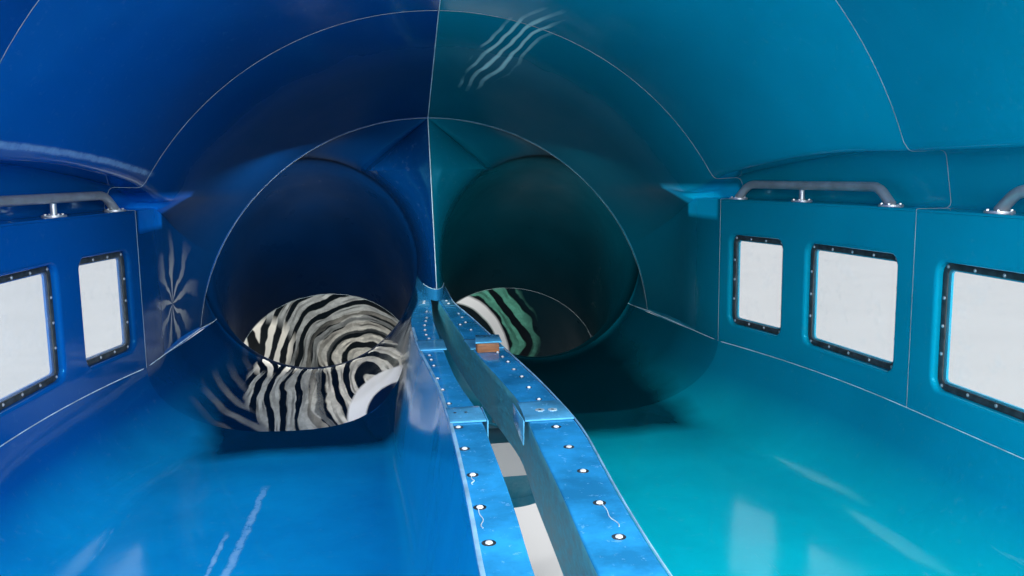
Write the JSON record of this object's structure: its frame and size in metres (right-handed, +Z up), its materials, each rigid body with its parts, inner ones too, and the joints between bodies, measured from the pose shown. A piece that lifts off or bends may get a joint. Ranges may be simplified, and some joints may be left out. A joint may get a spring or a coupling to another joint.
{
  "type": "twin-lane water slide start enclosure",
  "caption": "Covered start of a twin-lane water slide: two moulded tubs under one vault with side windows and grab bars, a funnel and two plunging tubes, on a steel stand.",
  "frame": {"origin": "on the ground, under the middle of the whole", "axes": "+X across the lanes towards the teal one, +Y from the rear entry to the tubes, +Z up"},
  "size_m": [3.55, 7.4182, 4.807],
  "materials": {
    "blue_laminate": "glossy gelcoat",
    "teal_laminate": "glossy gelcoat",
    "clear_sheet": "clear polycarbonate",
    "stainless": "satin stainless pipe",
    "galvanised_steel": "dull hot-dip galvanising"
  },
  "bodies": {
    "root": {"front_bent": "galvanised_steel", "left_channel": "blue_laminate", "left_funnel": "blue_laminate", "left_girder": "galvanised_steel", "left_grab_bar_front": "stainless", "left_grab_bar_rear": "stainless", "left_mouth": "blue_laminate", "left_tub_front": "blue_laminate", "left_tub_rear": "blue_laminate", "left_tube_bend": "blue_laminate", "left_tube_drop": "blue_laminate", "left_vault_front": "blue_laminate", "left_vault_rear": "blue_laminate", "left_wall_front": "blue_laminate", "left_wall_rear": "blue_laminate", "left_window_1": "clear_sheet", "left_window_2": "clear_sheet", "left_window_3": "clear_sheet", "left_window_4": "clear_sheet", "left_window_5": "clear_sheet", "middle_bent": "galvanised_steel", "rear_bent": "galvanised_steel", "right_channel": "teal_laminate", "right_funnel": "teal_laminate", "right_girder": "galvanised_steel", "right_grab_bar_front": "stainless", "right_grab_bar_rear": "stainless", "right_mouth": "teal_laminate", "right_tub_front": "teal_laminate", "right_tub_rear": "teal_laminate", "right_tube_bend": "teal_laminate", "right_tube_drop": "teal_laminate", "right_vault_front": "teal_laminate", "right_vault_rear": "teal_laminate", "right_wall_front": "teal_laminate", "right_wall_rear": "teal_laminate", "right_window_1": "clear_sheet", "right_window_2": "clear_sheet", "right_window_3": "clear_sheet", "right_window_4": "clear_sheet", "right_window_5": "clear_sheet", "tube_bent": "galvanised_steel"}
  },
  "joints": []
}
